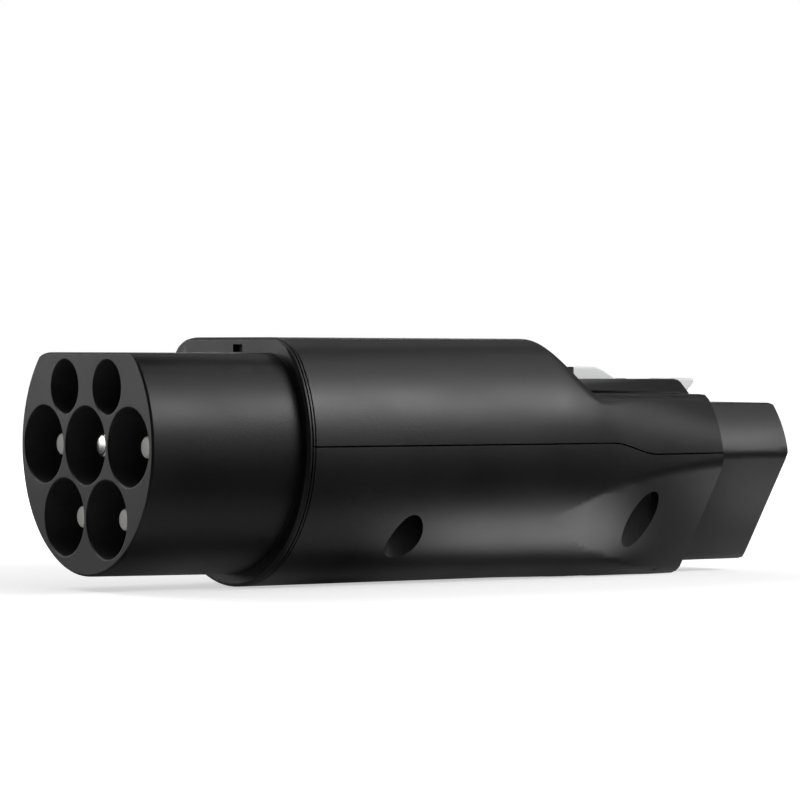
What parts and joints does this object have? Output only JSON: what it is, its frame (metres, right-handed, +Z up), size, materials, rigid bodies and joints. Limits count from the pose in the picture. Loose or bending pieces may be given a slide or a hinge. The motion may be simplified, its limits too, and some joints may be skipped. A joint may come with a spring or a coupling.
{
  "type": "ev charging adapter",
  "caption": "Straight adapter for electric car charging: round inlet block with recessed pins, two-part shell narrowing to a shield-shaped nose with sockets, and a sprung latch lever.",
  "frame": {"origin": "middle of the underside of the whole part's bounding box", "axes": "+X runs from the round inlet block to the shield-shaped nose, +Z is up, the side of the latch lever, and +Y is the far side in the picture"},
  "size_m": [0.1758, 0.0626, 0.0547],
  "materials": {
    "insulator": "fine matt texture",
    "shell": "fine spark-eroded texture, matt",
    "seal": "soft matt",
    "contact_silver": "bright silver plating",
    "tip_cap": "warm grey, satin",
    "contact_brass": "plated, satin",
    "carrier": "satin",
    "steel": "zinc plated",
    "spring_steel": "drawn wire",
    "wire_brown": "sleeved wire",
    "wire_blue": "sleeved wire",
    "wire_green_yellow": "sleeved wire, green with yellow stripes",
    "wire_white": "sleeved wire",
    "wire_orange": "sleeved wire",
    "board": "circuit board",
    "resistor": "moulded",
    "latch": "pale grey, slightly translucent, satin"
  },
  "bodies": {
    "adapter": {"plug_block": "insulator", "flange_gasket": "seal", "pin_l1": "contact_silver", "pin_l2": "contact_silver", "pin_l3": "contact_silver", "pin_n": "contact_silver", "pin_pe": "contact_silver", "pin_cp": "contact_silver", "pin_pp": "contact_silver", "tip_cap_l1": "tip_cap", "tip_cap_l2": "tip_cap", "tip_cap_l3": "tip_cap", "tip_cap_n": "tip_cap", "pin_carrier": "carrier", "pin_carrier_screws": "steel", "upper_shell": "shell", "lower_shell": "shell", "shell_screws": "steel", "nose_block": "insulator", "nose_seal": "seal", "socket_l": "contact_brass", "socket_n": "contact_brass", "socket_pe": "contact_brass", "socket_cp": "contact_brass", "socket_pp": "contact_brass", "nose_carrier": "carrier", "nose_carrier_screws": "steel", "wire_l": "wire_brown", "wire_n": "wire_blue", "wire_pe": "wire_green_yellow", "wire_cp": "wire_white", "wire_pp": "wire_orange", "signal_board": "board", "board_resistors": "resistor", "board_screws": "steel", "pivot_pin": "steel", "latch_spring": "spring_steel"},
    "latch": {"latch_lever": "latch"}
  },
  "joints": [
    {"name": "latch_hinge", "type": "hinge", "parent": "adapter", "child": "latch", "pos_m": [0.05162, 0, 0.04246], "axis": [0, -1, 0], "range_deg": [0, 8], "stiffness_Nm_per_rad": 0.05, "springref_deg": -5.73, "deforming": ["latch_spring"]}
  ]
}
